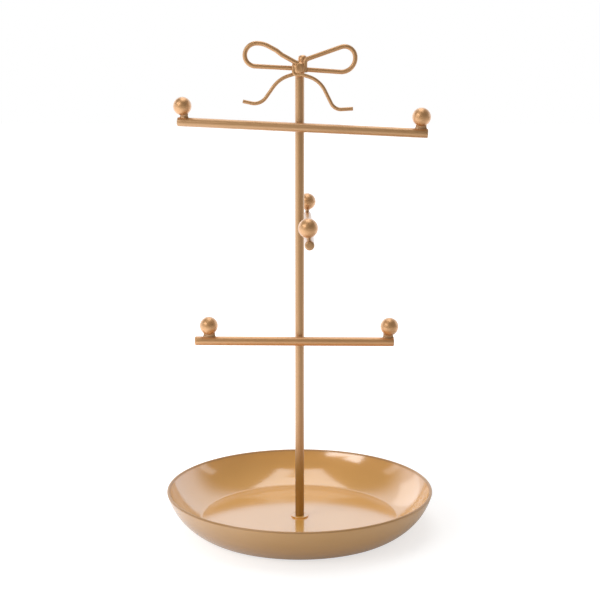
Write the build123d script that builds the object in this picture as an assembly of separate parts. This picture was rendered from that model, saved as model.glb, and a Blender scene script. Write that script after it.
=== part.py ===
from build123d import *

import math
import os

# A jewellery tree: an upright post with three crossbars, a ball on each bar end and a wire bow
# on top, clamped by one screw to a round dish. Millimetres, +Z up, X to the right, Y to the back.
# The origin is on the table, under the middle of the dish.

# Clamp screw, with a domed head and a hexagon socket, and its washer under the dish
screw_diameter = 4.0
screw_length = 10.0
screw_head_diameter = 7.6
screw_head_height = 2.2
screw_head_flat_share = 0.66
screw_head_dome_share = 0.28
screw_socket_width = 2.5
screw_socket_depth = 1.3
screw_spare_depth = 3.0
under_washer_diameter = 8.0
under_washer_thickness = 0.5

# Dish with a low foot, and the pad inside the foot, which keeps the screw's head off the table; the
# wall leaves the floor with a crease and flares out, bending up by this angle on its way to the lip
dish_diameter = 180.0
dish_flare = 23.0
dish_foot_margin = 3.0
dish_foot_width = 6.0
dish_foot_edge = 0.6
dish_depth = 21.0
dish_sheet = 2.0
dish_lip_thickness = 2.0
dish_wall_bend_angle = 21.5
pad_proud = 0.5
pad_hole_diameter = 24.0
screw_head_clearance = 0.3

# Post, and the ring that it stands on
post_diameter = 6.0
post_head_length = 42.6
post_top_chamfer = 0.5
seat_ring_flange = 3.0
seat_ring_thickness = 1.0
seat_ring_edge = 0.3

# Crossbars: the lowest one's height above the dish floor, the steps up to the others, and how
# each one is turned and tipped on the post, in degrees
bar_diameter = 6.0
bar_edge_radius = 0.7
bar_seat_depth = 0.3
weld_diameter = 5.4
lower_bar_height = 123.5
middle_bar_step = 74.3
upper_bar_step = 66.8
upper_bar_swing_angle = 8.0
upper_bar_dip_angle = 2.3
middle_bar_swing_angle = 89.8
middle_bar_dip_angle = 0.0
lower_bar_swing_angle = 0.0
lower_bar_dip_angle = 0.3

# Balls: how far along its bar each one stands, how far the bar runs on past it, and how far the
# front one leans over to the side of its bar, in degrees
ball_diameter = 12.0
upper_left_reach = 77.8
upper_right_reach = 78.1
middle_rear_reach = 78.0
middle_front_reach = 78.0
lower_left_reach = 60.3
lower_right_reach = 59.5
upper_left_overhang = 2.9
upper_right_overhang = 4.8
middle_rear_overhang = 3.5
middle_front_overhang = 3.5
lower_left_overhang = 9.3
lower_right_overhang = 3.2
middle_front_lean_angle = 5.0

# Neck between bar and ball: a stud in both, with a brazed collar round it
neck_height = 1.25
stud_diameter = 2.6
stud_depth = 2.6
collar_foot_length = 7.2
collar_foot_margin = 0.4
collar_waist_length = 5.4
collar_waist_width = 3.0
collar_head_length = 6.0
collar_head_width = 2.9
collar_sink_share = 0.96

# Wire bow: how far its knot lies below the post's top, and the size of each wire
knot_drop = 4.2
loop_wire_diameter = 3.0
tail_wire_diameter = 2.4
left_loop_reach = 35.4
left_loop_rise = 15.2
right_loop_reach = 35.9
right_loop_rise = 15.8
left_tail_reach = 36.6
left_tail_drop = 24.0
right_tail_reach = 34.3
right_tail_drop = 27.0
tuck_width = 6.0
tuck_thickness = 3.8
tuck_height = 3.5
tuck_offset = 1.9
tuck_dome_share = 0.8
bead_diameter = 8.4
bead_offset = 0.7
bead_proud = 0.5
bead_edge_share = 0.6

# Clearances, and one overrun for every cut
pad_clearance = 0.3
thread_clearance = 0.02
screw_hole_clearance = 0.2
stud_clearance = 0.02
wire_clearance = 0.03
cut_overrun = 1.0
right_angle = 90.0

# Corners of each wire, seen from the front: shares of its reach and of its rise or drop, and the
# share of the shorter run beside the corner that the bend takes up
left_loop_shares = [
    (-0.075, -0.053, 0.00),
    (-1.00, 0.06, 0.48),
    (-0.985, 1.00, 0.63),
    (-0.655, 0.98, 0.37),
    (-0.42, 0.69, 0.20),
    (-0.33, 0.52, 0.18),
    (0.00, 0.10, 0.00),
]
right_loop_shares = [
    (0.147, -0.10, 0.00),
    (1.00, -0.235, 0.50),
    (0.988, 1.00, 0.49),
    (0.0945, 0.294, 0.27),
    (0.0945, -0.215, 0.00),
]
left_tail_shares = [
    (-0.006, -0.137, 0.00),
    (-0.366, -0.313, 0.47),
    (-0.688, -1.008, 0.52),
    (-1.00, -0.905, 0.00),
]
right_tail_shares = [
    (-0.086, 0.143, 0.00),
    (-0.115, -0.193, 0.59),
    (0.053, -0.174, 0.33),
    (0.38, -0.314, 0.60),
    (0.653, -1.003, 0.39),
    (1.00, -0.976, 0.00),
]

# Heights and distances that follow from the sizes above
pad_thickness = under_washer_thickness + screw_head_height + screw_head_clearance
floor_top = pad_thickness + dish_sheet
dish_floor_diameter = dish_diameter - 2 * dish_flare
dish_foot_diameter = dish_floor_diameter + 2 * dish_foot_margin
foot_bore = dish_foot_diameter - 2 * dish_foot_width
post_foot = floor_top + seat_ring_thickness
lower_bar_level = floor_top + lower_bar_height
middle_bar_level = lower_bar_level + middle_bar_step
upper_bar_level = middle_bar_level + upper_bar_step
post_top = upper_bar_level + post_head_length
post_length = post_top - post_foot
knot_level = post_top - knot_drop
bar_standoff = post_diameter / 2 + bar_diameter / 2 - bar_seat_depth
ball_lift = bar_diameter / 2 + neck_height + ball_diameter / 2
screw_hole_diameter = screw_diameter + 2 * screw_hole_clearance
loop_plane = -(post_diameter / 2 + wire_clearance + loop_wire_diameter / 2)
tail_plane = -(post_diameter / 2 + wire_clearance + tail_wire_diameter / 2)
wrap_plane = loop_plane - (loop_wire_diameter / 2 + wire_clearance + tail_wire_diameter / 2)

# Each bar: its level, the side of the post it is welded to, its turn, its dip and its two ends
bars = {
    "upper": {
        "level": upper_bar_level,
        "side": (0, -1),
        "swing": upper_bar_swing_angle,
        "dip": upper_bar_dip_angle,
        "ends": {
            "left": (-1, upper_left_reach, upper_left_overhang, 0),
            "right": (1, upper_right_reach, upper_right_overhang, 0),
        },
    },
    "middle": {
        "level": middle_bar_level,
        "side": (1, 0),
        "swing": middle_bar_swing_angle,
        "dip": middle_bar_dip_angle,
        "ends": {
            "rear": (-1, middle_rear_reach, middle_rear_overhang, 0),
            "front": (1, middle_front_reach, middle_front_overhang, middle_front_lean_angle),
        },
    },
    "lower": {
        "level": lower_bar_level,
        "side": (0, -1),
        "swing": lower_bar_swing_angle,
        "dip": lower_bar_dip_angle,
        "ends": {
            "left": (-1, lower_left_reach, lower_left_overhang, 0),
            "right": (1, lower_right_reach, lower_right_overhang, 0),
        },
    },
}


def upright(diameter, height, bottom=0.0):
    """A cylinder about the Z axis that stands on the given level."""
    standing = (Align.CENTER, Align.CENTER, Align.MIN)
    return Pos(0, 0, bottom) * Cylinder(diameter / 2, height, align=standing)


def lying(diameter, length):
    """A cylinder along the X axis, centred on the origin."""
    return Rot(0, right_angle, 0) * Cylinder(diameter / 2, length)


def ring(diameter, bore, thickness, bottom):
    """A flat ring about the Z axis."""
    hole = upright(bore, thickness + 2 * cut_overrun, bottom - cut_overrun)
    return upright(diameter, thickness, bottom) - hole


def wall_arc(start, end, end_lean):
    """Arc from one point of the dish's wall to another, with a given lean at its end."""
    run = end[0] - start[0]
    rise = end[1] - start[1]
    chord_lean = math.atan2(rise, run)
    belly = math.hypot(run, rise) / 2 * math.tan((end_lean - chord_lean) / 2)
    middle = (
        start[0] + run / 2 + belly * math.sin(chord_lean),
        start[1] + rise / 2 - belly * math.cos(chord_lean),
    )
    return ThreePointArc(start, middle, end)


def dish():
    """Round dish: a flat floor, a wall with a rounded lip, a foot, and the screw's hole in its middle."""
    lip = dish_lip_thickness / 2
    lip_x = dish_diameter / 2 - lip
    lip_z = floor_top + dish_depth - lip
    hole = screw_hole_diameter / 2
    floor_edge = (dish_floor_diameter / 2, floor_top)
    foot_edge = (dish_foot_diameter / 2, pad_proud)

    def lip_lean(point):
        return math.atan2(lip_z - point[1], lip_x - point[0]) + math.radians(dish_wall_bend_angle)

    def on_lip(lean):
        return (lip_x + lip * math.sin(lean), lip_z - lip * math.cos(lean))

    outside_lean = lip_lean(foot_edge)
    inside_lean = lip_lean(floor_edge)
    outside = on_lip(outside_lean)
    inside = on_lip(inside_lean + math.pi)
    top = on_lip((outside_lean + inside_lean + math.pi) / 2)
    edges = [
        Line(floor_edge, (hole, floor_top)),
        Line((hole, floor_top), (hole, pad_thickness)),
        Line((hole, pad_thickness), (foot_bore / 2, pad_thickness)),
        Line((foot_bore / 2, pad_thickness), (foot_bore / 2, pad_proud)),
        Line((foot_bore / 2, pad_proud), foot_edge),
        wall_arc(foot_edge, outside, outside_lean),
        ThreePointArc(outside, top, inside),
        wall_arc(floor_edge, inside, inside_lean),
    ]
    body = revolve(Plane.XZ * make_face(edges), Axis.Z)
    lowest_edges = body.edges().group_by(Axis.Z)[0].sort_by(SortBy.LENGTH)
    return fillet(lowest_edges[-1], dish_foot_edge)


def base_pad():
    """Soft disc glued under the dish inside its foot, open in its middle round the screw's head."""
    return ring(foot_bore - 2 * pad_clearance, pad_hole_diameter, pad_thickness, 0.0)


def seat_ring():
    """Ring on the dish floor under the post's foot, with its upper edge eased."""
    body = ring(post_diameter + 2 * seat_ring_flange, screw_hole_diameter, seat_ring_thickness, floor_top)
    outer_top_edge = body.edges().group_by(Axis.Z)[-1].sort_by(SortBy.LENGTH)[-1]
    return fillet(outer_top_edge, seat_ring_edge)


def under_washer():
    """Washer between the screw's head and the underside of the dish."""
    bottom = pad_thickness - under_washer_thickness
    return ring(under_washer_diameter, screw_hole_diameter, under_washer_thickness, bottom)


def clamp_screw():
    """Screw with a domed head, driven up through the dish into the post's foot."""
    head_top = pad_thickness - under_washer_thickness
    head_bottom = head_top - screw_head_height
    rim = screw_head_diameter / 2
    flat = rim * screw_head_flat_share
    dome_side = ((rim + flat) / 2, head_bottom + screw_head_height * screw_head_dome_share)
    edges = [
        Line((0, head_bottom), (flat, head_bottom)),
        ThreePointArc((flat, head_bottom), dome_side, (rim, head_top)),
        Line((rim, head_top), (0, head_top)),
        Line((0, head_top), (0, head_bottom)),
    ]
    head = revolve(Plane.XZ * make_face(edges), Axis.Z)
    hexagon = RegularPolygon(screw_socket_width / 2, 6, major_radius=False)
    socket = Pos(0, 0, head_bottom - cut_overrun) * extrude(hexagon, screw_socket_depth + cut_overrun)
    return head + upright(screw_diameter, screw_length, head_top) - socket


def bar_frame(name):
    """Frame at the middle of a bar's seat on the post, with X along the bar."""
    bar = bars[name]
    side_x, side_y = bar["side"]
    seat = Pos(side_x * bar_standoff, side_y * bar_standoff, bar["level"])
    return seat * Rot(0, bar["dip"], -bar["swing"])


def bar_rod(name):
    """The bar's plain rod in its own frame, from end to end."""
    near, far = [reach + overhang for way, reach, overhang, lean in bars[name]["ends"].values()]
    return Pos((far - near) / 2, 0, 0) * lying(bar_diameter, near + far)


def end_frame(name, end):
    """Frame on a bar's middle line under one of its balls, in the bar's own frame, with Z to the ball."""
    way, reach, overhang, lean = bars[name]["ends"][end]
    return Pos(way * reach, 0, 0) * Rot(lean, 0, 0)


def stud(clearance):
    """The plain stud of a neck, along Z, with a clearance all round it and at its ends."""
    bottom = bar_diameter / 2 - stud_depth - clearance
    top = ball_lift - ball_diameter / 2 + stud_depth + clearance
    return upright(stud_diameter + 2 * clearance, top - bottom, bottom)


def crossbar(name):
    """Round bar with eased ends and a blind hole for the stud of each neck."""
    rod = fillet(bar_rod(name).edges().filter_by(GeomType.CIRCLE), bar_edge_radius)
    for end in bars[name]["ends"]:
        rod -= end_frame(name, end) * stud(stud_clearance)
    return bar_frame(name) * rod


def ball(name, end):
    """Ball over one end of a bar, with a blind hole for its stud."""
    body = Pos(0, 0, ball_lift) * Sphere(ball_diameter / 2) - stud(stud_clearance)
    return bar_frame(name) * end_frame(name, end) * body


def neck(name, end):
    """Stud between bar and ball, with a brazed collar that is drawn in at its waist."""
    bar_radius = bar_diameter / 2
    ball_radius = ball_diameter / 2
    half_foot = bar_radius - collar_foot_margin
    foot_level = math.sqrt(bar_radius**2 - half_foot**2) * collar_sink_share
    waist_level = bar_radius + neck_height / 2
    half_head = collar_head_length / 2
    head_level = ball_lift - math.sqrt(ball_radius**2 - half_head**2) * collar_sink_share
    collar = loft(
        [
            Pos(0, 0, foot_level) * Ellipse(collar_foot_length / 2, half_foot),
            Pos(0, 0, waist_level) * Ellipse(collar_waist_length / 2, collar_waist_width / 2),
            Pos(0, 0, head_level) * Ellipse(half_head, collar_head_width / 2),
        ]
    )
    collar -= Pos(0, 0, ball_lift) * Sphere(ball_radius)
    collar -= lying(bar_diameter, 2 * collar_foot_length)
    return bar_frame(name) * end_frame(name, end) * (collar + stud(0.0))


def post():
    """Upright rod with a tapped foot and a shallow seat for each bar."""
    rod = upright(post_diameter, post_length, post_foot)
    rod = chamfer(rod.edges().group_by(Axis.Z)[-1], post_top_chamfer)
    for name in bars:
        rod -= bar_frame(name) * bar_rod(name)
    grip = screw_length - dish_sheet - seat_ring_thickness - under_washer_thickness
    tapped = upright(
        screw_diameter + 2 * thread_clearance,
        grip + screw_spare_depth + cut_overrun,
        post_foot - cut_overrun,
    )
    return rod - tapped


def weld(name):
    """Bead that fills the corner between a bar and the post, all round the seat."""
    side_x, side_y = bars[name]["side"]
    outward = Plane(origin=(0, 0, bars[name]["level"]), z_dir=(side_x, side_y, 0))
    bead = outward * upright(weld_diameter, bar_standoff)
    bead -= upright(post_diameter, post_length, post_foot)
    return bead - bar_frame(name) * bar_rod(name)


def wire_path(shares, reach, rise, plane):
    """Centre line of a bent wire in a plane facing the front: straight runs joined by tangent arcs."""
    points = [Vector(x * reach, plane, knot_level + z * rise) for x, z, bend in shares]
    radii = []
    for before, corner, after, row in zip(points, points[1:], points[2:], shares[1:-1]):
        arriving = corner - before
        leaving = after - corner
        half_turn = math.radians(arriving.get_angle(leaving)) / 2
        shorter = min(arriving.length, leaving.length)
        radii.append(row[2] * shorter / math.tan(half_turn))
    return FilletPolyline(*points, radius=radii), radii


def bent_wire(label, shares, reach, rise, plane, diameter):
    """Round wire swept along its centre line, with its length, tightest bend and volume printed."""
    path, radii = wire_path(shares, reach, rise, plane)
    section = Plane(origin=path @ 0, z_dir=path % 0) * Circle(diameter / 2)
    wire = sweep(section, path=path)
    expected = math.pi * (diameter / 2) ** 2 * path.length
    print(
        f"{label}: length {path.length:.1f} mm, tightest bend {min(radii):.2f} mm, "
        f"volume {wire.volume / expected:.4f} of section times length"
    )
    return wire


def knot_tuck():
    """Flattened wire end that is tucked over the post's top, with a domed tip."""
    body = Pos(0, 0, post_top) * extrude(SlotOverall(tuck_width, tuck_thickness), tuck_height)
    body = fillet(body.edges().group_by(Axis.Z)[-1], tuck_thickness / 2 * tuck_dome_share)
    return Pos(tuck_offset, 0, 0) * body


def knot_bead(neighbours):
    """Brazed bead that fills the knot between the wires and the post."""
    thickness = loop_wire_diameter + bead_proud
    back = Plane(origin=(bead_offset, loop_plane + loop_wire_diameter, knot_level), z_dir=(0, -1, 0))
    disc = upright(bead_diameter, thickness)
    bead = back * fillet(disc.edges().group_by(Axis.Z)[-1], thickness * bead_edge_share)
    for piece in neighbours:
        bead -= piece
    return bead.solids().sort_by(SortBy.VOLUME)[-1]


def build():
    """Every sub-part by its node's name."""
    nodes = {
        "dish": dish(),
        "base_pad": base_pad(),
        "seat_ring": seat_ring(),
        "under_washer": under_washer(),
        "clamp_screw": clamp_screw(),
        "post": post(),
    }
    for name, bar in bars.items():
        nodes[f"{name}_bar"] = crossbar(name)
        nodes[f"{name}_weld"] = weld(name)
        for end in bar["ends"]:
            nodes[f"{name}_{end}_ball"] = ball(name, end)
            nodes[f"{name}_{end}_neck"] = neck(name, end)
    loop = loop_wire_diameter
    tail = tail_wire_diameter
    wires = {
        "left_loop": (left_loop_shares, left_loop_reach, left_loop_rise, loop_plane, loop),
        "right_loop": (right_loop_shares, right_loop_reach, right_loop_rise, loop_plane, loop),
        "left_tail": (left_tail_shares, left_tail_reach, left_tail_drop, tail_plane, tail),
        "right_tail": (right_tail_shares, right_tail_reach, right_tail_drop, wrap_plane, tail),
    }
    for name, sizes in wires.items():
        nodes[name] = bent_wire(name, *sizes)
    nodes["knot_tuck"] = knot_tuck()
    nodes["knot_bead"] = knot_bead([nodes["post"], *(nodes[name] for name in wires)])
    return nodes


os.makedirs("parts", exist_ok=True)
for node, solid in build().items():
    export_step(solid, f"parts/{node}.step")
    print(f"{node}: {solid.volume:.1f} mm3")
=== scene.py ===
# %% [markdown]
# # A gold jewellery tree, dressed in Blender
#
# The stand has a cast dish, an upright rod, three crossbars with a ball on each end, and a bow of
# bent wire on top. Its construction is already packed as a frame of separate nodes at real size.
# This lesson loads that frame, models a finished piece for each node that shows, and gives every
# surface its finish. Lengths are in metres, so a millimetre gets a name of its own.

import math

import bmesh
import bpy
from mathutils import Matrix, Vector, noise


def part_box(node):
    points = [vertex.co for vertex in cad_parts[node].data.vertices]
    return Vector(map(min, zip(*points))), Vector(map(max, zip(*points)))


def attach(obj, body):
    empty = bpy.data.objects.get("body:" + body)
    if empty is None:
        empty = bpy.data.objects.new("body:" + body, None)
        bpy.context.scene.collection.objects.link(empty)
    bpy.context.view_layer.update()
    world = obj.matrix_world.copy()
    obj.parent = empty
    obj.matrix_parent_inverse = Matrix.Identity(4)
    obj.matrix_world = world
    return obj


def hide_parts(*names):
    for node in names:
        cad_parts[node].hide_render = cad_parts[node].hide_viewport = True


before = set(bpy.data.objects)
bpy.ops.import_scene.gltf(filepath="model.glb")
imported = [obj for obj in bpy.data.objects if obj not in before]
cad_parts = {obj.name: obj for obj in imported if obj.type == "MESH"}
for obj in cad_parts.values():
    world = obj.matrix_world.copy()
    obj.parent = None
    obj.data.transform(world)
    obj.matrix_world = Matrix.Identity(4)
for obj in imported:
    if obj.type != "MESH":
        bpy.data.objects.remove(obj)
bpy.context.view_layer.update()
scene = bpy.context.scene
mm = 0.001

# %% [markdown]
# ## The camera
#
# The stand was photographed from in front, at the height of the bow, with a short telephoto lens
# tipped down at the dish. The place and the lens were found by fitting the balls, the bars and the
# rim, so the camera is set from those few numbers and has no shift.

# %% Camera
camera_place = (0.00023, -0.8688, 0.3105)
camera_dip = math.radians(10.124)
camera_lens = 79.58
camera_sensor = 36.0
camera_near = 10 * mm

camera_data = bpy.data.cameras.new("studio_camera")
camera_data.lens = camera_lens
camera_data.sensor_width = camera_sensor
camera_data.clip_start = camera_near
camera = bpy.data.objects.new("studio_camera", camera_data)
camera.location = camera_place
camera.rotation_euler = (math.pi / 2 - camera_dip, 0.0, 0.0)
scene.collection.objects.link(camera)
scene.camera = camera
scene.view_settings.view_transform = "Standard"
print("camera at", [round(x, 3) for x in camera.location], "lens", camera_lens)

# %% [markdown]
# ## Shader maths as Python
#
# A finish is a small formula: a bit of noise, times a share, plus a base value. Wiring each step
# by hand hides the formula, so one class wraps a socket. Adding or multiplying it adds the Math
# node, and its node method makes every other kind of node.


# %% The socket class
class Flow:
    """One output socket of a shader tree, or the bare tree where no node has been made yet."""

    def __init__(self, tree, output=None):
        self.tree = tree
        self.output = output

    def node(self, kind, settings=None, inputs=None, output=0):
        """Adds a node: its settings first, then the values or links of its sockets."""
        made = self.tree.nodes.new(kind)
        for name, value in (settings or {}).items():
            setattr(made, name, value)
        for name, value in (inputs or {}).items():
            if isinstance(value, Flow):
                self.tree.links.new(value.output, made.inputs[name])
            else:
                made.inputs[name].default_value = value
        return Flow(self.tree, made.outputs[output] if len(made.outputs) else None)

    def math(self, operation, first, second=0.0):
        return self.node("ShaderNodeMath", {"operation": operation}, {0: first, 1: second})

    def along(self, axis):
        """One coordinate of this vector: X, Y or Z."""
        return self.node("ShaderNodeSeparateXYZ", None, {0: self}, output=axis)

    def mix(self, first, second):
        """The first colour where this value is 0, the second where it is 1."""
        settings = {"data_type": "RGBA", "clamp_factor": True}
        return self.node("ShaderNodeMix", settings, {0: self, 6: first, 7: second}, output=2)

    def ease(self, start, end):
        """0 up to the start value, 1 from the end value on and a smooth step between."""
        settings = {"interpolation_type": "SMOOTHSTEP"}
        inputs = {"Value": self, "From Min": start, "From Max": end}
        return self.node("ShaderNodeMapRange", settings, inputs)

    def __add__(self, other):
        return self.math("ADD", self, other)

    def __radd__(self, other):
        return self.math("ADD", other, self)

    def __sub__(self, other):
        return self.math("SUBTRACT", self, other)

    def __rsub__(self, other):
        return self.math("SUBTRACT", other, self)

    def __mul__(self, other):
        return self.math("MULTIPLY", self, other)

    def __rmul__(self, other):
        return self.math("MULTIPLY", other, self)


def new_tree(owner):
    """An empty node tree of a material or world, ready for its first node."""
    owner.use_nodes = True
    owner.node_tree.nodes.clear()
    return Flow(owner.node_tree)


print("sockets are wrapped by", Flow.__name__)

# %% [markdown]
# ## The studio
#
# Metal shows its surroundings, so the studio is half of the finish. What the camera sees straight is
# plain white. What the metal mirrors is a white and slightly cool backdrop, which dims to a grey
# room at the right front and to a dark ceiling over the front and the sides. Matt surfaces get an
# even grey fill, so that the lamps stay in charge of light and shade.

# %% World
white = (1.0, 1.0, 1.0, 1.0)
cool_white = (1.15, 1.27, 1.44, 1.0)
room_grey = (0.58, 0.57, 0.56, 1.0)
ceiling_grey = (0.22, 0.22, 0.22, 1.0)
fill_grey = (0.50, 0.50, 0.50, 1.0)
right_dimming = 0.55
front_dimming = 0.85
room_ease = 0.0, 0.7
ceiling_tilt = 0.5
ceiling_sides = 0.4
ceiling_ease = 0.35, 0.8


def looks(start):
    """Masks of the rays that look straight at a thing, and of those that see it at all."""
    straight = start.node("ShaderNodeLightPath", output="Is Camera Ray")
    mirrored = start.node("ShaderNodeLightPath", output="Is Glossy Ray")
    through = start.node("ShaderNodeLightPath", output="Is Transmission Ray")
    seen = start.math("MAXIMUM", straight, start.math("MAXIMUM", mirrored, through))
    return straight, seen


def studio_world():
    world = bpy.data.worlds.new("studio_world")
    sky = new_tree(world)
    direction = sky.node("ShaderNodeTexCoord", output="Generated")
    to_right = direction.along("X")
    to_back = direction.along("Y")
    to_top = direction.along("Z")
    aside = sky.math("ABSOLUTE", to_right)
    room = (to_right * right_dimming - to_back * front_dimming).ease(*room_ease)
    ceiling = (to_top - to_back * ceiling_tilt + aside * ceiling_sides).ease(*ceiling_ease)
    mirrored = ceiling.mix(room.mix(cool_white, room_grey), ceiling_grey)
    straight, seen = looks(sky)
    backdrop = straight.mix(mirrored, white)
    fill = sky.node("ShaderNodeBackground", None, {"Color": fill_grey, "Strength": 1.0})
    shown = sky.node("ShaderNodeBackground", None, {"Color": backdrop, "Strength": 1.0})
    surface = sky.node("ShaderNodeMixShader", None, {0: seen, 1: fill, 2: shown})
    sky.node("ShaderNodeOutputWorld", None, {"Surface": surface})
    return world


scene.world = studio_world()
print("world:", scene.world.name)

# %% [markdown]
# ## The floor
#
# The floor is white paper. It glows by itself, so that the camera sees it as white far from the
# stand. Near the stand the glow is weaker and the light that falls on the paper adds the rest, so the
# stand's shadow shows there. Metal mirrors the paper dim near the stand, a painted shadow over the
# real one, and dim towards the right front, a painted shade.

# %% Floor
floor_reach = 6.0
floor_squares = 8
paper_albedo = (0.5, 0.5, 0.5, 1.0)
near_white = (0.66, 0.66, 0.66, 1.0)
# Painted shadow and painted shade in what metal mirrors of the floor: dim near the stand and towards the
# right front.
near_shadow_glow = (0.20, 0.20, 0.20, 1.0)
far_glow = (1.04, 1.10, 1.22, 1.0)
right_front_shade_glow = (0.20, 0.20, 0.20, 1.0)
dim_middle = (0.12, -0.03, 0.0)
dim_ease = 0.12, 0.30
side_ease = 0.0, 0.6


def floor_paper():
    material = bpy.data.materials.new("floor_paper")
    paper = new_tree(material)
    place = paper.node("ShaderNodeTexCoord", output="Object")
    inputs = {0: place, 1: dim_middle}
    distance = paper.node("ShaderNodeVectorMath", {"operation": "DISTANCE"}, inputs, output="Value")
    reach = distance.ease(*dim_ease)
    side = (place.along("X") * right_dimming - place.along("Y") * front_dimming).ease(*side_ease)
    mirrored = reach.mix(near_shadow_glow, side.mix(far_glow, right_front_shade_glow))
    straight, seen = looks(paper)
    colour = straight.mix(mirrored, reach.mix(near_white, white))
    glow = paper.node("ShaderNodeEmission", None, {"Color": colour})
    matt = paper.node("ShaderNodeBsdfDiffuse", None, {"Color": paper_albedo})
    lit = paper.node("ShaderNodeAddShader", None, {0: matt, 1: glow})
    surface = paper.node("ShaderNodeMixShader", None, {0: seen, 1: matt, 2: lit})
    paper.node("ShaderNodeOutputMaterial", None, {"Surface": surface})
    return material


floor_mesh = bmesh.new()
bmesh.ops.create_grid(floor_mesh, x_segments=floor_squares, y_segments=floor_squares, size=floor_reach)
floor_data = bpy.data.meshes.new("floor")
floor_mesh.to_mesh(floor_data)
floor_mesh.free()
floor_data.materials.append(floor_paper())
floor = bpy.data.objects.new("floor", floor_data)
scene.collection.objects.link(floor)
print("floor reaches", floor_reach, "m each way")

# %% [markdown]
# ## The lamps
#
# Soft lamps give the highlights. The key is a softbox at the upper left front, and a longer one hangs
# overhead. Two weak strips stand at the sides and a wide panel at the back left. Each lamp is given
# by the brightness of its face, so it can change size and keep its brightness in the metal.

# %% Lamps
stand_middle = Vector((0.0, 0.0, 0.16))


def softbox(name, place, width, height, radiance):
    """A soft lamp that faces the stand, out of the camera's sight, powered from its brightness."""
    data = bpy.data.lights.new(name, "AREA")
    data.shape = "RECTANGLE"
    data.size = width
    data.size_y = height
    data.energy = radiance * math.pi * width * height
    lamp = bpy.data.objects.new(name, data)
    lamp.location = place
    lamp.visible_camera = False
    lamp.rotation_euler = (stand_middle - Vector(place)).to_track_quat("-Z", "Y").to_euler()
    scene.collection.objects.link(lamp)
    print(f"{name}: {data.energy:.1f} W")


softbox("key_softbox", (-0.88, -0.74, 0.88), width=0.8, height=0.5, radiance=3.4)
softbox("left_strip", (-1.0, 0.3, 0.6), width=0.16, height=0.35, radiance=0.7)
softbox("right_strip", (1.0, 0.3, 0.6), width=0.16, height=0.35, radiance=0.9)
softbox("overhead_softbox", (0.0, 0.17, 1.2), width=0.62, height=0.95, radiance=1.75)
softbox("backdrop_panel", (-0.95, 1.4, 0.62), width=0.9, height=0.7, radiance=0.8)

# %% [markdown]
# ## Gold lacquer
#
# The gold is a lacquer: fine metal powder in a clear binder over steel. The powder is a rough
# metal that takes its colour from the gold, and the binder on top is a smoother clear coat whose
# reflections stay white. One function makes the lacquer, and the pieces differ in tone and in how
# smooth the coat lies: it flowed out well in the dish, less so on rods and balls, and it is thin on
# wire and welds. The lower bar has the balls' lighter tone, which is painted light on a bar of the
# same steel. Noise at three sizes gives cloudy tone, powder and a faint orange peel. On the dish's
# lip and at the post's foot the colour is darkened as painted shade, and the coat is duller there.

# %% Gold lacquer
dish_tones = (0.77, 0.378, 0.062, 1.0), (0.87, 0.434, 0.078, 1.0)
rod_tones = (0.57, 0.296, 0.097, 1.0), (0.655, 0.348, 0.121, 1.0)
ball_tones = (0.70, 0.354, 0.118, 1.0), (0.80, 0.414, 0.145, 1.0)
wire_tones = (0.61, 0.320, 0.116, 1.0), (0.70, 0.376, 0.142, 1.0)
weld_tones = (0.46, 0.240, 0.088, 1.0), (0.54, 0.286, 0.108, 1.0)
# Painted shade: the dish's lip is darkened, standing in for the dark line its reflection shows.
lip_shade_tone = (0.52, 0.270, 0.090, 1.0)
# Painted shade: the post darkens towards its foot, where it mirrors the shaded dish.
foot_shade_tone = (0.43, 0.262, 0.078, 1.0)
shade_band_gloss = 0.2
glossy_coat = {"weight": 0.95, "index": 2.3, "roughness": 0.13}
satin_coat = {"weight": 0.90, "index": 1.9, "roughness": 0.36}
dull_coat = {"weight": 0.60, "index": 1.9, "roughness": 0.36}
cloud_grain = {"Scale": 55.0, "Detail": 3.0}
powder_grain = {"Scale": 2400.0, "Detail": 1.0}
peel_grain = {"Scale": 650.0, "Detail": 2.0}
noise_middle = 0.5
cloud_tone = 0.85
powder_tone = 0.15
cloud_gloss = 0.2
cloud_roughness = 0.10
powder_roughness = 0.06
peel_strength = 0.25
dish_metal = 0.20
rod_metal = 0.85
dish_peel = 0.05 * mm
rod_peel = 0.03 * mm
weld_peel = 0.06 * mm
no_stretch = (1.0, 1.0, 1.0)
post_stretch = (1.0, 1.0, 0.15)
bar_stretch = (0.15, 0.6, 1.0)
lip_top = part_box("dish")[1].z
# The painted shade band on the lip: clear below, darkest near the top of the lip.
lip_painted_shade = lip_top - 1.6 * mm, lip_top - 0.5 * mm, lip_shade_tone
# The painted shade band on the post: clear above, darkest at the foot.
foot_painted_shade = 60 * mm, 33 * mm, foot_shade_tone


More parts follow.
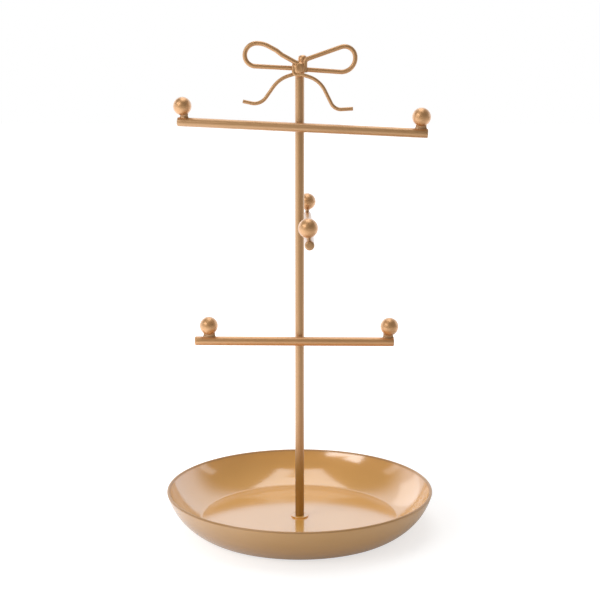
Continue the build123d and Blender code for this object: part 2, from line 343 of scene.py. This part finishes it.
def gold_lacquer(
    name, tones, coat, roughness, metal=rod_metal, peel_depth=rod_peel, stretch=no_stretch, shade_band=None
):
    """Gold lacquer with cloudy tone, and with powder and orange peel that the stretch draws out.

    The shade band is painted shade: a clear height, a fully shaded height and the shade tone; the coat
    dulls there too.
    """
    material = bpy.data.materials.new(name)
    start = new_tree(material)
    place = start.node("ShaderNodeTexCoord", output="Object")
    drawn = start.node("ShaderNodeMapping", None, {"Vector": place, "Scale": stretch})
    cloud = start.node("ShaderNodeTexNoise", None, {"Vector": place, **cloud_grain})
    powder = start.node("ShaderNodeTexNoise", None, {"Vector": drawn, **powder_grain})
    peel = start.node("ShaderNodeTexNoise", None, {"Vector": drawn, **peel_grain})
    cloud_swing = cloud - noise_middle
    powder_swing = powder - noise_middle
    colour = (cloud * cloud_tone + powder * powder_tone).mix(*tones)
    gloss = coat["weight"] + cloud_swing * cloud_gloss
    # Painted shade: between the two heights the colour darkens to the shade tone and the coat grows
    # duller.
    if shade_band:
        unshaded_height, shaded_height, shade_tone = shade_band
        shaded = place.along("Z").ease(unshaded_height, shaded_height)
        colour = shaded.mix(colour, shade_tone)
        gloss = gloss * (1 - shaded * (1 - shade_band_gloss))
    relief = {"Height": peel, "Strength": peel_strength, "Distance": peel_depth}
    bump = start.node("ShaderNodeBump", None, relief)
    shader = start.node(
        "ShaderNodeBsdfPrincipled",
        None,
        {
            "Base Color": colour,
            "Metallic": metal,
            "Roughness": roughness + powder_swing * powder_roughness + cloud_swing * cloud_roughness,
            "Normal": bump,
            "Coat Weight": gloss,
            "Coat Roughness": coat["roughness"],
            "Coat IOR": coat["index"],
        },
    )
    start.node("ShaderNodeOutputMaterial", None, {"Surface": shader})
    print("finish:", name)
    return material


dish_gold = gold_lacquer(
    "dish_gold_lacquer",
    dish_tones,
    glossy_coat,
    roughness=0.50,
    metal=dish_metal,
    peel_depth=dish_peel,
    shade_band=lip_painted_shade,
)
post_gold = gold_lacquer(
    "post_gold_lacquer", rod_tones, satin_coat, roughness=0.46, stretch=post_stretch, shade_band=foot_painted_shade
)
bar_golds = {}
# Painted light: the lower bar has the same lacquer as the others but gets the balls' lighter tone.
for bar, tones in (("upper", rod_tones), ("middle", rod_tones), ("lower", ball_tones)):
    name = f"{bar}_bar_gold_lacquer"
    bar_golds[bar] = gold_lacquer(name, tones, satin_coat, roughness=0.50, stretch=bar_stretch)
ball_gold = gold_lacquer("ball_gold_lacquer", ball_tones, satin_coat, roughness=0.46)
weld_gold = gold_lacquer("weld_gold_lacquer", weld_tones, dull_coat, roughness=0.52, peel_depth=weld_peel)
wire_gold = gold_lacquer("wire_gold_lacquer", wire_tones, dull_coat, roughness=0.50)

# %% [markdown]
# ## Foam rubber and zinc
#
# Under the dish are a pad of closed-cell foam and a plated screw with its washer. They only show
# when the stand is turned over. The foam is a dark matt rubber with a skin of small cells, and the
# zinc is a bluish grey metal with the faint cloudiness of plating.

# %% Foam and zinc
foam_dark = (0.012, 0.011, 0.010, 1.0)
foam_worn = (0.035, 0.032, 0.029, 1.0)
cell_scale = 1400.0
cell_depth = 0.3 * mm
cell_strength = 0.6
dust_grain = {"Scale": 90.0, "Detail": 4.0}
foam_roughness = 0.75
cell_roughness = 0.2
zinc_light = (0.60, 0.61, 0.62, 1.0)
zinc_dull = (0.42, 0.43, 0.45, 1.0)
plating_grain = {"Scale": 400.0, "Detail": 3.0}
tooling_grain = {"Scale": 3000.0, "Detail": 1.0}
tooling_depth = 0.05 * mm
tooling_strength = 0.2
zinc_roughness = 0.28
plating_roughness = 0.2


def foam_rubber():
    material = bpy.data.materials.new("foam_rubber")
    start = new_tree(material)
    place = start.node("ShaderNodeTexCoord", output="Object")
    cells = start.node("ShaderNodeTexVoronoi", None, {"Vector": place, "Scale": cell_scale}, "Distance")
    dust = start.node("ShaderNodeTexNoise", None, {"Vector": place, **dust_grain})
    relief = {"Height": cells, "Strength": cell_strength, "Distance": cell_depth}
    bump = start.node("ShaderNodeBump", None, relief)
    shader = start.node(
        "ShaderNodeBsdfPrincipled",
        None,
        {
            "Base Color": dust.mix(foam_dark, foam_worn),
            "Roughness": foam_roughness + cells * cell_roughness,
            "Normal": bump,
        },
    )
    start.node("ShaderNodeOutputMaterial", None, {"Surface": shader})
    return material


def plated_zinc():
    material = bpy.data.materials.new("plated_zinc")
    start = new_tree(material)
    place = start.node("ShaderNodeTexCoord", output="Object")
    cloud = start.node("ShaderNodeTexNoise", None, {"Vector": place, **plating_grain})
    tooling = start.node("ShaderNodeTexNoise", None, {"Vector": place, **tooling_grain})
    relief = {"Height": tooling, "Strength": tooling_strength, "Distance": tooling_depth}
    bump = start.node("ShaderNodeBump", None, relief)
    shader = start.node(
        "ShaderNodeBsdfPrincipled",
        None,
        {
            "Base Color": cloud.mix(zinc_dull, zinc_light),
            "Metallic": 1.0,
            "Roughness": zinc_roughness + cloud * plating_roughness,
            "Normal": bump,
        },
    )
    start.node("ShaderNodeOutputMaterial", None, {"Surface": shader})
    return material


foam = foam_rubber()
zinc = plated_zinc()
for node in ("under_washer", "clamp_screw"):
    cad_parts[node].data.materials.clear()
    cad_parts[node].data.materials.append(zinc)
print("finishes:", foam.name, zinc.name)

# %% [markdown]
# ## From a bmesh to a piece
#
# Each finished piece goes through the same steps: merge the doubles that spinning leaves, turn the
# faces outwards, shade smooth up to a crease angle, and tell the frame which body it rides on and
# which node it stands for. One function does that, so that no piece forgets a step. Small helpers
# draw a profile from lines, arcs and rectangles, spin it about the stand's axis, and ease its edges.

# %% Piece and profile helpers
touch = 0.001 * mm
crease_angle = math.radians(40)
pen_axis = (0, -1, 0)
up = Vector((0, 0, 1))


def make_piece(mesh, name, body, nodes, finish):
    """A clean, smooth piece that rides on a body and stands for CAD nodes."""
    bmesh.ops.remove_doubles(mesh, verts=mesh.verts, dist=touch)
    bmesh.ops.recalc_face_normals(mesh, faces=mesh.faces)
    data = bpy.data.meshes.new(name)
    mesh.to_mesh(data)
    mesh.free()
    data.shade_smooth()
    data.set_sharp_from_angle(angle=crease_angle)
    data.materials.append(finish)
    piece = bpy.data.objects.new(name, data)
    scene.collection.objects.link(piece)
    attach(piece, body)
    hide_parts(*nodes)
    print(f"{name}: {len(data.polygons)} faces")
    return piece


def only(kind, parts):
    """The parts of a bmesh operator's result that are of one kind."""
    return [part for part in parts if isinstance(part, kind)]


def draw_line(mesh, vert, place):
    """Draws a straight edge from a vertex to a place, and gives the vertex there."""
    tip = bmesh.ops.extrude_vert_indiv(mesh, verts=[vert])["verts"][0]
    tip.co = place
    return tip


def draw_arc(mesh, vert, centre, sweep, steps):
    """Draws an arc in the XZ plane from a vertex, anticlockwise as seen from the front."""
    made = bmesh.ops.spin(mesh, geom=[vert], cent=centre, axis=pen_axis, angle=sweep, steps=steps)
    return only(bmesh.types.BMVert, made["geom_last"])[0]


def draw_rectangle(mesh, inside, outside, low, high):
    """Draws a rectangle in the XZ plane between two radii and two heights."""
    first = mesh.verts.new((inside, 0.0, low))
    pen = draw_line(mesh, first, (outside, 0.0, low))
    pen = draw_line(mesh, pen, (outside, 0.0, high))
    pen = draw_line(mesh, pen, (inside, 0.0, high))
    mesh.edges.new((pen, first))


def lathe(mesh, steps):
    """Spins the drawn profile once round the stand's upright axis."""
    profile = mesh.verts[:] + mesh.edges[:]
    full = {"cent": (0, 0, 0), "axis": up, "angle": 2 * math.pi}
    bmesh.ops.spin(mesh, geom=profile, steps=steps, use_merge=True, **full)


def round_edges(mesh, edges, size, segments=4):
    """Rounds a list of edges."""
    how = {"offset_type": "OFFSET", "profile": 0.5, "affect": "EDGES", "material": -1}
    bmesh.ops.bevel(mesh, geom=edges, offset=size, segments=segments, **how)


def ring_edges(mesh, radius, level):
    """The edges that lie on the ring of a given radius and level."""

    def on_ring(vert):
        return abs(vert.co.xy.length - radius) < touch and abs(vert.co.z - level) < touch

    return [edge for edge in mesh.edges if all(on_ring(vert) for vert in edge.verts)]


print("helpers ready")

# %% [markdown]
# ## The dish
#
# The dish is cast and then turned: a flat floor, a wall that leaves it with a soft crease and bends
# up to a round lip, and a low foot underneath. Everything about it is round, so one profile is drawn
# with lines and arcs and spun once. The wall's inside and outside are two arcs that both run
# smoothly into the lip, so the wall is thick at the foot and thin at the top, as a casting is.

# %% Dish
dish_low, dish_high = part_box("dish")
floor_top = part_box("seat_ring")[0].z
pad_low, pad_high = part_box("base_pad")
dish_flare = 23 * mm
foot_margin = 3 * mm
foot_width = 6 * mm
lip_radius = 1 * mm
wall_bend = math.radians(21.5)
screw_hole = 2.2 * mm
floor_rim = 2 * mm
crease_round = 0.9 * mm
foot_round = 0.6 * mm
wall_steps = 28
lip_steps = 12
dish_steps = 180


def wall_arc(start, end, lean):
    """Centre and sweep of the arc between two points that leans by the given angle at its end."""
    chord = end - start
    bend = lean - math.atan2(chord.z, chord.x)
    radius = chord.length / 2 / math.sin(bend)
    return end + radius * Vector((-math.sin(lean), 0.0, math.cos(lean))), 2 * bend


def cast_dish():
    lip = Vector((dish_high.x - lip_radius, 0.0, dish_high.z - lip_radius))
    floor_edge = Vector((dish_high.x - dish_flare, 0.0, floor_top))
    foot_edge = Vector((floor_edge.x + foot_margin, 0.0, dish_low.z))

    def lip_lean(point):
        return math.atan2(lip.z - point.z, lip.x - point.x) + wall_bend

    def on_lip(lean):
        return lip + lip_radius * Vector((math.sin(lean), 0.0, -math.cos(lean)))

    inside_lean = lip_lean(floor_edge)
    outside_lean = lip_lean(foot_edge)
    inside_centre, inside_sweep = wall_arc(floor_edge, on_lip(inside_lean + math.pi), inside_lean)
    outside_centre, outside_sweep = wall_arc(foot_edge, on_lip(outside_lean), outside_lean)

    mesh = bmesh.new()
    first = mesh.verts.new((screw_hole, 0.0, floor_top))
    pen = draw_line(mesh, first, floor_edge - Vector((floor_rim, 0.0, 0.0)))
    pen = draw_line(mesh, pen, floor_edge)
    pen = draw_arc(mesh, pen, inside_centre, inside_sweep, wall_steps)
    pen = draw_arc(mesh, pen, lip, outside_lean - inside_lean - math.pi, lip_steps)
    pen = draw_arc(mesh, pen, outside_centre, -outside_sweep, wall_steps)
    pen = draw_line(mesh, pen, (foot_edge.x - foot_width, 0.0, dish_low.z))
    pen = draw_line(mesh, pen, (foot_edge.x - foot_width, 0.0, pad_high.z))
    pen = draw_line(mesh, pen, (screw_hole, 0.0, pad_high.z))
    mesh.edges.new((pen, first))
    lathe(mesh, dish_steps)
    round_edges(mesh, ring_edges(mesh, floor_edge.x, floor_top), crease_round)
    round_edges(mesh, ring_edges(mesh, foot_edge.x, dish_low.z), foot_round)
    return make_piece(mesh, "cast_dish", "base", ["dish"], dish_gold)


cast_dish()

# %% [markdown]
# ## The foam pad
#
# A disc of foam is glued inside the foot, with a hole in its middle for the screw's head. It is cut
# from a sheet, so its faces are flat and its edges a little rounded where the foam draws in. A
# rectangle is spun and its four rings are rounded.

# %% Foam pad
pad_hole = 12 * mm
pad_round = 0.7 * mm
pad_steps = 120


def foam_pad():
    mesh = bmesh.new()
    draw_rectangle(mesh, pad_hole, pad_high.x, pad_low.z, pad_high.z)
    lathe(mesh, pad_steps)
    for radius in (pad_hole, pad_high.x):
        for level in (pad_low.z, pad_high.z):
            round_edges(mesh, ring_edges(mesh, radius, level), pad_round)
    return make_piece(mesh, "foam_pad", "base", ["base_pad"], foam)


foam_pad()

# %% [markdown]
# ## The seat ring
#
# The post stands on a thin turned ring. It is a rectangle spun round the axis, with its upper outer
# edge eased so that it catches a fine line of light. It has the dish's glossy lacquer.

# %% Seat ring
ring_low, ring_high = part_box("seat_ring")
ring_round = 0.3 * mm
ring_steps = 96


def turned_ring():
    mesh = bmesh.new()
    draw_rectangle(mesh, screw_hole, ring_high.x, ring_low.z, ring_high.z)
    lathe(mesh, ring_steps)
    round_edges(mesh, ring_edges(mesh, ring_high.x, ring_high.z), ring_round)
    return make_piece(mesh, "turned_ring", "tree", ["seat_ring"], dish_gold)


turned_ring()

# %% [markdown]
# ## The post
#
# All four rods are cut from the same drawn steel. A rod is a long cone with equal ends, its end
# edges are rounded, and its length is cut into short stretches that a little noise moves by a few
# hundredths of a millimetre: a lacquered rod is never quite true, and its reflections show that.

# %% Post
rod_sides = 64
rod_cut = 4 * mm
rod_wander = 0.025 * mm
wander_length = 14 * mm
wander_seed = 50


def drawn_rod(name, start, end, radius, ease, node, finish):
    """A rod between two points, with eased ends and a slight wander."""
    length = (end - start).length
    mesh = bmesh.new()
    ends = {"radius1": radius, "radius2": radius, "depth": length, "cap_ends": True}
    bmesh.ops.create_cone(mesh, segments=rod_sides, **ends)
    level = [edge for edge in mesh.edges if abs(edge.verts[0].co.z - edge.verts[1].co.z) < touch]
    round_edges(mesh, level, ease)
    sides = [edge for edge in mesh.edges if edge.calc_length() > length / 2]
    bmesh.ops.subdivide_edges(mesh, edges=sides, cuts=round(length / rod_cut), use_grid_fill=True)
    for vert in mesh.verts:
        here = Vector((0.0, 0.0, vert.co.z / wander_length))
        vert.co.x += rod_wander * noise.noise(here + start * wander_seed)
        vert.co.y += rod_wander * noise.noise(here - start * wander_seed)
    turn = up.rotation_difference(end - start).to_matrix().to_4x4()
    place = Matrix.Translation((start + end) / 2) @ turn
    bmesh.ops.transform(mesh, matrix=place, verts=mesh.verts)
    return make_piece(mesh, name, "tree", [node], finish)


post_low, post_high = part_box("post")
post_radius = post_high.x
post_ease = 0.5 * mm
drawn_rod("drawn_post", up * post_low.z, up * post_high.z, post_radius, post_ease, "post", post_gold)

# %% [markdown]
# ## The crossbars
#
# A crossbar's middle is that of its box, and its direction is its turn round the post and its dip,
# both in degrees. The ball's place along that line shows where its neck stands and which way it
# leans. Past each neck the bar overhangs by a length of its own.

# %% Crossbars
bar_radius = 3 * mm
bar_eases = {"upper": 0.7 * mm, "middle": 1.3 * mm, "lower": 0.7 * mm}
bar_ends = {
    "upper": {"left": 2.9 * mm, "right": 4.8 * mm},
    "middle": {"rear": 3.5 * mm, "front": 3.5 * mm},
    "lower": {"left": 9.3 * mm, "right": 3.2 * mm},
}
bar_turns = {"upper": (8.0, 2.3), "middle": (89.8, 0.0), "lower": (0.0, 0.3)}


def ball_middle(node):
    """Centre and radius of a ball; its stud hole cuts the lowest point away, so Z is from the top."""
    low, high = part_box(node)
    radius = (high.y - low.y) / 2
    return Vector(((low.x + high.x) / 2, (low.y + high.y) / 2, high.z - radius)), radius


def bar_line(bar):
    """Middle of a bar, and its direction from its first ball to its second."""
    low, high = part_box(f"{bar}_bar")
    swing, dip = [math.radians(angle) for angle in bar_turns[bar]]
    level = math.cos(swing) * math.cos(dip)
    return (low + high) / 2, Vector((level, -math.sin(swing), -math.cos(swing) * math.sin(dip)))


def neck_place(bar, end):
    """Frame on the bar's middle line under a ball: X along the bar, Z up to the ball."""
    middle, along = bar_line(bar)
    ball = ball_middle(f"{bar}_{end}_ball")[0]
    foot = middle + along * (ball - middle).dot(along)
    rise = (ball - foot).normalized()
    turn = Matrix((along, rise.cross(along), rise)).transposed().to_4x4()
    return Matrix.Translation(foot) @ turn


for bar, ends in bar_ends.items():
    along = bar_line(bar)[1]
    (near, near_hang), (far, far_hang) = ends.items()
    start = neck_place(bar, near).translation - along * near_hang
    end = neck_place(bar, far).translation + along * far_hang
    drawn_rod(f"drawn_{bar}_bar", start, end, bar_radius, bar_eases[bar], f"{bar}_bar", bar_golds[bar])

# %% [markdown]
# ## Balls
#
# The balls are solid steel with the same lacquer in a lighter tone. An even icosphere has no poles to
# pinch a reflection, and slow noise keeps it from being perfect.

# %% Balls
ball_wander = 0.004
ball_subdivisions = 5


def lacquered_ball(bar, end):
    node = f"{bar}_{end}_ball"
    middle, radius = ball_middle(node)
    mesh = bmesh.new()
    bmesh.ops.create_icosphere(mesh, subdivisions=ball_subdivisions, radius=radius)
    for vert in mesh.verts:
        vert.co *= 1 + ball_wander * noise.noise(vert.co / radius + middle * wander_seed)
    bmesh.ops.translate(mesh, vec=middle, verts=mesh.verts)
    return make_piece(mesh, f"lacquered_{node}", "tree", [node], ball_gold)


for bar, ends in bar_ends.items():
    for end in ends:
        lacquered_ball(bar, end)

# %% [markdown]
# ## Brazed necks
#
# A short stud joins each ball to its bar, and braze has filled the corner round it. The filler is a
# saddle: its foot lies on the round bar, its head hugs the ball and its waist is drawn in between.
# A circle is extruded into a stack of rings, then each ring is moved between the two surfaces. The
# necks were brazed by hand, so their lengths along the bar differ and each one is a bit lumpy.

# %% Necks
neck_waists = {
    "upper": {"left": 5.0 * mm, "right": 6.8 * mm},
    "middle": {"rear": 5.6 * mm, "front": 5.6 * mm},
    "lower": {"left": 7.4 * mm, "right": 6.4 * mm},
}
neck_shifts = {
    "upper": {"left": 1.3 * mm, "right": 0.0},
    "middle": {"rear": 0.0, "front": 0.0},
    "lower": {"left": 0.3 * mm, "right": -0.7 * mm},
}
neck_height = 1.25 * mm
neck_waist_width = 2.6 * mm
neck_foot_width = 3.8 * mm
neck_head_width = 3.6 * mm
neck_foot_spread = 0.7 * mm
neck_head_spread = 0.3 * mm
neck_sink = 0.15 * mm
neck_lump = 0.10 * mm
neck_grain = 2
neck_rise_grain = 3
neck_seed = 900
neck_sides = 48
neck_steps = 12


def ring_stack(mesh, sides, steps):
    """A tube of unit circles on top of each other, as a list of its rings."""
    bmesh.ops.create_circle(mesh, segments=sides, radius=1.0)
    rings = [mesh.verts[:]]
    edges = mesh.edges[:]
    while len(rings) <= steps:
        made = bmesh.ops.extrude_edge_only(mesh, edges=edges)["geom"]
        rings.append(only(bmesh.types.BMVert, made))
        fresh = set(rings[-1])
        edges = [edge for edge in only(bmesh.types.BMEdge, made) if fresh.issuperset(edge.verts)]
    return rings


def brazed_neck(bar, end):
    waist = neck_waists[bar][end]
    shift = neck_shifts[bar][end]
    ball_radius = ball_middle(f"{bar}_{end}_ball")[1]
    lift = bar_radius + neck_height + ball_radius
    place = neck_place(bar, end)
    seed = place.translation * neck_seed
    mesh = bmesh.new()
    for step, ring in enumerate(ring_stack(mesh, neck_sides, neck_steps)):
        share = step / neck_steps
        flare = (1 - share) ** 3
        crown = share**3
        half_length = waist / 2 + neck_foot_spread * flare + neck_head_spread * crown
        half_width = neck_waist_width * (1 - flare - crown) / 2
        half_width += (neck_foot_width * flare + neck_head_width * crown) / 2
        for vert in ring:
            x = shift + vert.co.x * half_length
            y = vert.co.y * half_width
            foot = math.sqrt(bar_radius**2 - y**2) - neck_sink
            head = lift - math.sqrt(ball_radius**2 - x**2 - y**2) + neck_sink
            lump = neck_lump * noise.noise(vert.co * neck_grain + seed + up * share * neck_rise_grain)
            outward = Vector((vert.co.x, vert.co.y, 0.0))
            vert.co = Vector((x, y, foot * (1 - share) + head * share)) + outward * lump
    bmesh.ops.holes_fill(mesh, edges=mesh.edges, sides=0)
    bmesh.ops.transform(mesh, matrix=place, verts=mesh.verts)
    node = f"{bar}_{end}_neck"
    return make_piece(mesh, f"brazed_{node}", "tree", [node], weld_gold)


for bar, ends in bar_ends.items():
    for end in ends:
        brazed_neck(bar, end)

# %% [markdown]
# ## Weld beads
#
# Each bar is welded to the side of the post, and the bead runs round the place where they touch. A
# small circle is spun into a ring. Along the bar the ring drops towards the post, along the post it
# rises towards the bar, so it fills the saddle-shaped corner, and ripples show how it was laid.

# %% Welds
bead_ring = 2.5 * mm
bead_radius = 0.75 * mm
bead_saddle = 0.55 * mm
bead_ripple = 0.10 * mm
ripple_grain = 4
ripple_seed = 300
bead_sides = 20
bead_steps = 72
seat_depth = 0.3 * mm
weld_sides = {"upper": Vector((0, -1, 0)), "middle": Vector((1, 0, 0)), "lower": Vector((0, -1, 0))}


def weld_bead(bar):
    outward = weld_sides[bar]
    weld_low, weld_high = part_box(f"{bar}_weld")
    level = (weld_low.z + weld_high.z) / 2
    mesh = bmesh.new()
    bmesh.ops.create_circle(mesh, segments=bead_sides, radius=bead_radius)
    upright = Matrix.Translation((bead_ring, 0, 0)) @ Matrix.Rotation(math.pi / 2, 4, "X")
    bmesh.ops.transform(mesh, matrix=upright, verts=mesh.verts)
    lathe(mesh, bead_steps)
    for vert in mesh.verts:
        turn = math.atan2(vert.co.y, vert.co.x)
        ripple = noise.noise(Vector((turn * ripple_grain, level * ripple_seed, 0)))
        vert.co.z -= bead_saddle * math.cos(2 * turn)
        vert.co *= 1 + bead_ripple / bead_ring * ripple
    along = up.cross(outward)
    turn = Matrix((along, outward.cross(along), outward)).transposed().to_4x4()
    place = Matrix.Translation(outward * (post_radius - seat_depth / 2) + up * level) @ turn
    bmesh.ops.transform(mesh, matrix=place, verts=mesh.verts)
    return make_piece(mesh, f"weld_bead_{bar}", "tree", [f"{bar}_weld"], weld_gold)


for bar in weld_sides:
    weld_bead(bar)

# %% [markdown]
# ## Bent wire
#
# The bow is four bent wires. Bent wire has straight runs with round bends between them, so each wire
# is a list of corners. A corner is a place in millimetres from the knot, to the right, to the back
# and up, and the share of the shorter run that its bend takes up. A Bezier curve makes each bend one
# rounded stretch. The curve is made a mesh, and the sharp edges of its cut ends are eased.

# %% Wires
loop_wire = 3.0 * mm
tail_wire = 2.4 * mm
wire_ease = 0.35 * mm
wire_ease_steps = 3
wire_roundness = 8
bend_steps = 14
knot_drop = 4.2 * mm
knot = Vector((0.0, 0.0, post_high.z - knot_drop))


def bend_points(corners):
    """Bezier points of a bent wire: each bend is one arc, with straight runs between the bends."""
    places = [knot + Vector(corner[:3]) * mm for corner in corners]
    shares = [corner[3] for corner in corners]
    points = [[places[0], places[0], places[0]]]
    for before, corner, after, share in zip(places, places[1:], places[2:], shares[1:]):
        arriving = (corner - before).normalized()
        leaving = (after - corner).normalized()
        turn = arriving.angle(leaving)
        cut = share * min((corner - before).length, (after - corner).length)
        handle = cut * 4 / 3 * math.tan(turn / 4) / math.tan(turn / 2)
        enter = corner - arriving * cut
        leave = corner + leaving * cut
        points.append([enter, enter, enter + arriving * handle])
        points.append([leave, leave - leaving * handle, leave])
    points.append([places[-1], places[-1], places[-1]])
    for first, second in zip(points, points[1:]):
        if first[2] == first[0] and second[1] == second[0]:
            third = (second[0] - first[0]) / 3
            first[2] = first[0] + third
            second[1] = second[0] - third
    return points


def bent_wire(node, diameter, corners):
    data = bpy.data.curves.new(f"{node}_line", "CURVE")
    data.dimensions = "3D"
    data.bevel_depth = diameter / 2
    data.bevel_resolution = wire_roundness
    data.resolution_u = bend_steps
    data.use_fill_caps = True
    spline = data.splines.new("BEZIER")
    points = bend_points(corners)
    spline.bezier_points.add(len(points) - 1)
    for point, (place, left, right) in zip(spline.bezier_points, points):
        point.handle_left_type = point.handle_right_type = "FREE"
        point.co = place
        point.handle_left = left
        point.handle_right = right
    line = bpy.data.objects.new(f"{node}_line", data)
    scene.collection.objects.link(line)
    tube = bpy.data.meshes.new_from_object(line)
    bpy.data.objects.remove(line)
    mesh = bmesh.new()
    mesh.from_mesh(tube)
    bmesh.ops.remove_doubles(mesh, verts=mesh.verts, dist=touch)
    caps = [face for face in mesh.faces if len(face.verts) > 4]
    round_edges(mesh, [edge for cap in caps for edge in cap.edges], wire_ease, wire_ease_steps)
    return make_piece(mesh, f"bent_{node}", "tree", [node], wire_gold)


print("wire:", loop_wire, "m in the loops,", tail_wire, "m in the tails")

# %% [markdown]
# ## The bow
#
# Each loop leaves the knot, turns back at the side and returns to it. The left tail starts low in the
# knot. The right tail first passes over the knot as its wrap: its first run lies partly sunk in the
# braze, then it comes forward to the wrap's depth and hangs down. Depths are negative to the front.

# %% Loops and tails
loop_depth = -4.53
tail_depth = -4.23
wrap_depth = -7.26
sunk_depth = -6.40

bent_wire(
    "left_loop",
    loop_wire,
    [
        (0.0, loop_depth, -0.9, 0.0),
        (-35.4, loop_depth, 0.91, 0.48),
        (-34.87, loop_depth, 15.2, 0.63),
        (-23.19, loop_depth, 14.9, 0.37),
        (-14.87, loop_depth - 0.2, 10.49, 0.20),
        (-11.68, loop_depth - 0.5, 7.90, 0.18),
        (0.6, loop_depth - 1.2, 1.2, 0.0),
    ],
)
bent_wire(
    "right_loop",
    loop_wire,
    [
        (0.5, loop_depth + 0.4, -1.3, 0.0),
        (35.9, loop_depth, -3.71, 0.50),
        (35.47, loop_depth, 15.8, 0.49),
        (3.39, loop_depth - 0.8, 4.65, 0.27),
        (3.39, loop_depth - 0.8, -3.40, 0.0),
    ],
)
bent_wire(
    "left_tail",
    tail_wire,
    [
        (-0.22, tail_depth, -3.29, 0.0),
        (-13.40, tail_depth, -7.51, 0.47),
        (-25.18, tail_depth, -24.19, 0.52),
        (-36.6, tail_depth, -21.72, 0.0),
    ],
)
bent_wire(
    "right_tail",
    tail_wire,
    [
        (-3.3, -3.0, 3.4, 0.0),
        (-3.8, sunk_depth, 1.2, 0.45),
        (-3.8, sunk_depth, -5.21, 0.45),
        (1.82, wrap_depth, -4.70, 0.33),
        (13.03, wrap_depth, -8.48, 0.60),
        (22.40, wrap_depth, -27.08, 0.39),
        (34.3, wrap_depth, -26.35, 0.0),
    ],
)

# %% [markdown]
# ## The tucked end
#
# The flattened end of a wire is tucked over the post's top. It is an oval drawn upwards, with its
# top edge rounded over. It has the balls' lighter satin lacquer, a painted light on the wire's end.

# %% Knot tuck
tuck_foot = knot + Vector((1.9, -1.3, -0.5)) * mm
tuck_width = 6.2 * mm
tuck_depth = 6.6 * mm
tuck_height = 8.2 * mm
tuck_round = 2.4 * mm
tuck_round_steps = 6
tuck_sides = 48


def tucked_end():
    mesh = bmesh.new()
    bmesh.ops.create_circle(mesh, segments=tuck_sides, radius=1.0)
    bmesh.ops.scale(mesh, vec=(tuck_width / 2, tuck_depth / 2, 1.0), verts=mesh.verts)
    bmesh.ops.translate(mesh, vec=tuck_foot, verts=mesh.verts)
    made = bmesh.ops.extrude_edge_only(mesh, edges=mesh.edges[:])["geom"]
    top = set(only(bmesh.types.BMVert, made))
    rim = [edge for edge in only(bmesh.types.BMEdge, made) if top.issuperset(edge.verts)]
    bmesh.ops.translate(mesh, vec=up * tuck_height, verts=list(top))
    bmesh.ops.holes_fill(mesh, edges=mesh.edges, sides=0)
    round_edges(mesh, rim, tuck_round, tuck_round_steps)
    # Painted light: the wire's end gets the balls' lighter lacquer instead of the wire's own.
    return make_piece(mesh, "tucked_end", "tree", ["knot_tuck"], ball_gold)


tucked_end()

# %% [markdown]
# ## The knot's bead
#
# A lump of braze fills the middle of the knot. It is an icosphere that is drawn a little towards a
# box, made uneven by coarse and fine noise, and then flattened. It too has the balls' satin lacquer.

# %% Knot bead
lump_middle = knot + Vector((-0.5, -4.6, -1.0)) * mm
lump_size = Vector((4.5, 3.4, 4.5)) * mm
lump_square = 2.3
lump_depth = 0.06
lump_grain = 1.9
fine_depth = lump_depth / 3
fine_grain = 5
lump_subdivisions = 5


def braze_lump():
    mesh = bmesh.new()
    bmesh.ops.create_icosphere(mesh, subdivisions=lump_subdivisions, radius=1.0)
    for vert in mesh.verts:
        vert.co /= sum(abs(side) ** lump_square for side in vert.co) ** (1 / lump_square)
        coarse = lump_depth * noise.noise(vert.co * lump_grain)
        fine = fine_depth * noise.noise(vert.co * fine_grain)
        vert.co *= 1 + coarse + fine
    bmesh.ops.scale(mesh, vec=lump_size, verts=mesh.verts)
    bmesh.ops.translate(mesh, vec=lump_middle, verts=mesh.verts)
    return make_piece(mesh, "braze_lump", "tree", ["knot_bead"], ball_gold)


braze_lump()
